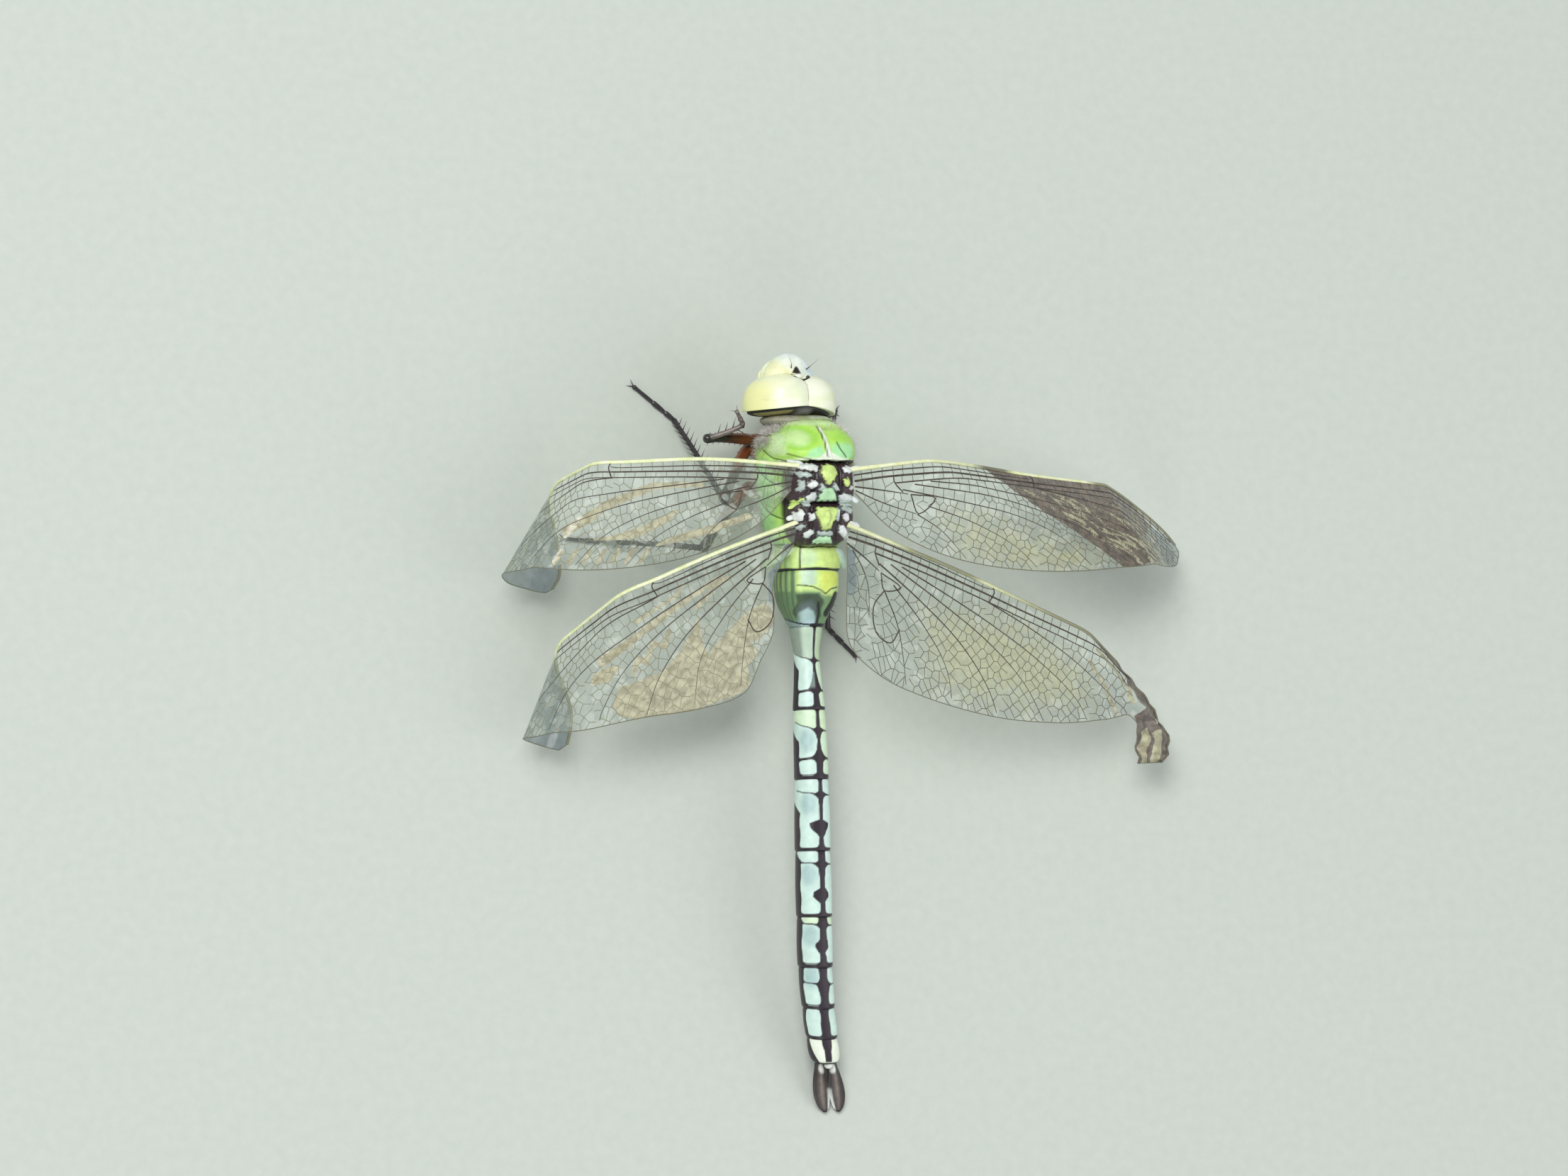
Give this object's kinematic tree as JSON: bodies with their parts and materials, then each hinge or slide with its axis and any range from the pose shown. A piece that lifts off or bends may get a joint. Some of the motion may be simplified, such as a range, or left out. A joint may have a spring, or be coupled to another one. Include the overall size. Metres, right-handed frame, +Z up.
{
  "type": "dragonfly",
  "caption": "Life-size dragonfly at rest with spread, partly curled wings, ringed tail laid on the floor and legs braced, for display.",
  "frame": {"origin": "on the floor, under the middle of the model's footprint", "axes": "head towards -Y, the animal's left side towards +X, +Z up"},
  "size_m": [0.0768, 0.0796, 0.0169],
  "materials": {
    "eye": "glossy, pale lime faceted eye",
    "face": "satin cream-lime shell with a pale blue brow",
    "nape": "matt black with a cream strip",
    "green": "satin lime-green shell with fine hair",
    "nota": "satin yellow-green plates edged black",
    "blue": "satin pale mint-blue rings with brown-black stripe",
    "pale": "satin cream rings with dark centre",
    "dark": "satin dark brown",
    "leg": "glossy black-brown with red-brown bases",
    "wing": "clear membrane with dark veins and pale yellow front vein"
  },
  "bodies": {
    "root": {"head": "nape", "eye_left": "eye", "eye_right": "eye", "frons": "face", "clypeus": "face", "labrum": "face", "labium": "face", "antenna_left": "dark", "antenna_right": "dark", "prothorax": "green", "thorax": "green", "mesonotum": "nota", "metanotum": "nota", "segment_01": "green", "segment_02": "green", "segment_03": "blue", "segment_04": "blue", "segment_05": "blue", "segment_06": "blue", "segment_07": "blue", "segment_08": "blue", "segment_09": "pale", "segment_10": "pale", "cercus_left": "dark", "cercus_right": "dark", "epiproct": "dark", "forewing_left": "wing", "forewing_right": "wing", "hindwing_left": "wing", "hindwing_right": "wing", "coxa_fore_left": "leg", "coxa_fore_right": "leg", "coxa_mid_left": "leg", "coxa_mid_right": "leg", "coxa_hind_left": "leg", "coxa_hind_right": "leg", "femur_fore_left": "leg", "femur_fore_right": "leg", "femur_mid_left": "leg", "femur_mid_right": "leg", "femur_hind_left": "leg", "femur_hind_right": "leg", "tibia_fore_left": "leg", "tibia_fore_right": "leg", "tibia_mid_left": "leg", "tibia_mid_right": "leg", "tibia_hind_left": "leg", "tibia_hind_right": "leg", "tarsus_fore_left": "leg", "tarsus_fore_right": "leg", "tarsus_mid_left": "leg", "tarsus_mid_right": "leg", "tarsus_hind_left": "leg", "tarsus_hind_right": "leg"}
  },
  "joints": []
}
